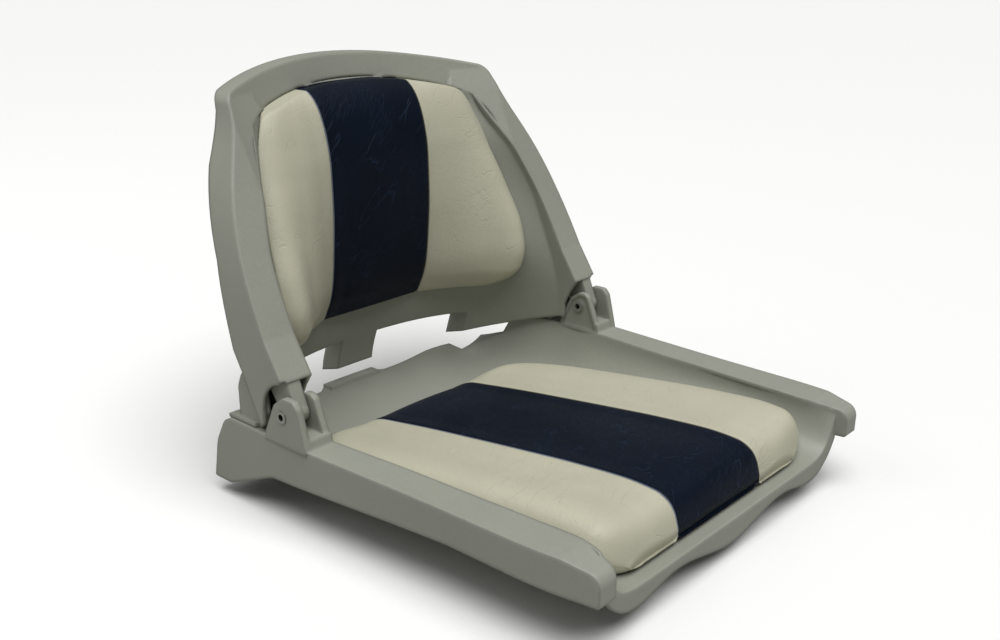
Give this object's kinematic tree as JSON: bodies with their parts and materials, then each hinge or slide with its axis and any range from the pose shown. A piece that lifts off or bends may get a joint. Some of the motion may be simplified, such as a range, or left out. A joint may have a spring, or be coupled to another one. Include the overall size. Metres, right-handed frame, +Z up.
{
  "type": "folding boat seat",
  "caption": "Folding boat seat with a moulded plastic pan and folding back, both with padded vinyl cushions, and a square bolt pattern below for a pedestal.",
  "frame": {"origin": "middle of the pedestal's four bolt holes, on the face that lies on the pedestal", "axes": "+X to the right as seen from the front, -Y to the front, +Z up"},
  "size_m": [0.5108, 0.5918, 0.434],
  "materials": {
    "grey_plastic": "satin moulded marine plastic, warm grey",
    "beige_vinyl": "grained marine vinyl, beige",
    "navy_vinyl": "grained marine vinyl, dark navy",
    "foam": "open-cell upholstery foam",
    "plywood": "plywood, unfinished",
    "rivet_steel": "stainless steel, rolled ends",
    "screw_steel": "stainless steel",
    "brass": "turned brass"
  },
  "bodies": {
    "seat": {"seat_shell": "grey_plastic", "pedestal_inserts": "brass", "hinge_pin_left": "rivet_steel", "hinge_pin_right": "rivet_steel", "seat_board": "plywood", "seat_foam": "foam", "seat_cover_left": "beige_vinyl", "seat_cover_centre": "navy_vinyl", "seat_cover_right": "beige_vinyl", "seat_screws": "screw_steel", "seat_washers": "screw_steel", "seat_tee_nuts": "screw_steel", "seat_staples": "screw_steel"},
    "back": {"back_shell": "grey_plastic", "back_board": "plywood", "back_foam": "foam", "back_cover_left": "beige_vinyl", "back_cover_centre": "navy_vinyl", "back_cover_right": "beige_vinyl", "back_screws": "screw_steel", "back_washers": "screw_steel", "back_tee_nuts": "screw_steel"}
  },
  "joints": [
    {"name": "back_fold", "type": "hinge", "parent": "seat", "child": "back", "pos_m": [0, 0.0687, 0.1201], "axis": [1, 0, 0], "range_deg": [0, 118]}
  ]
}
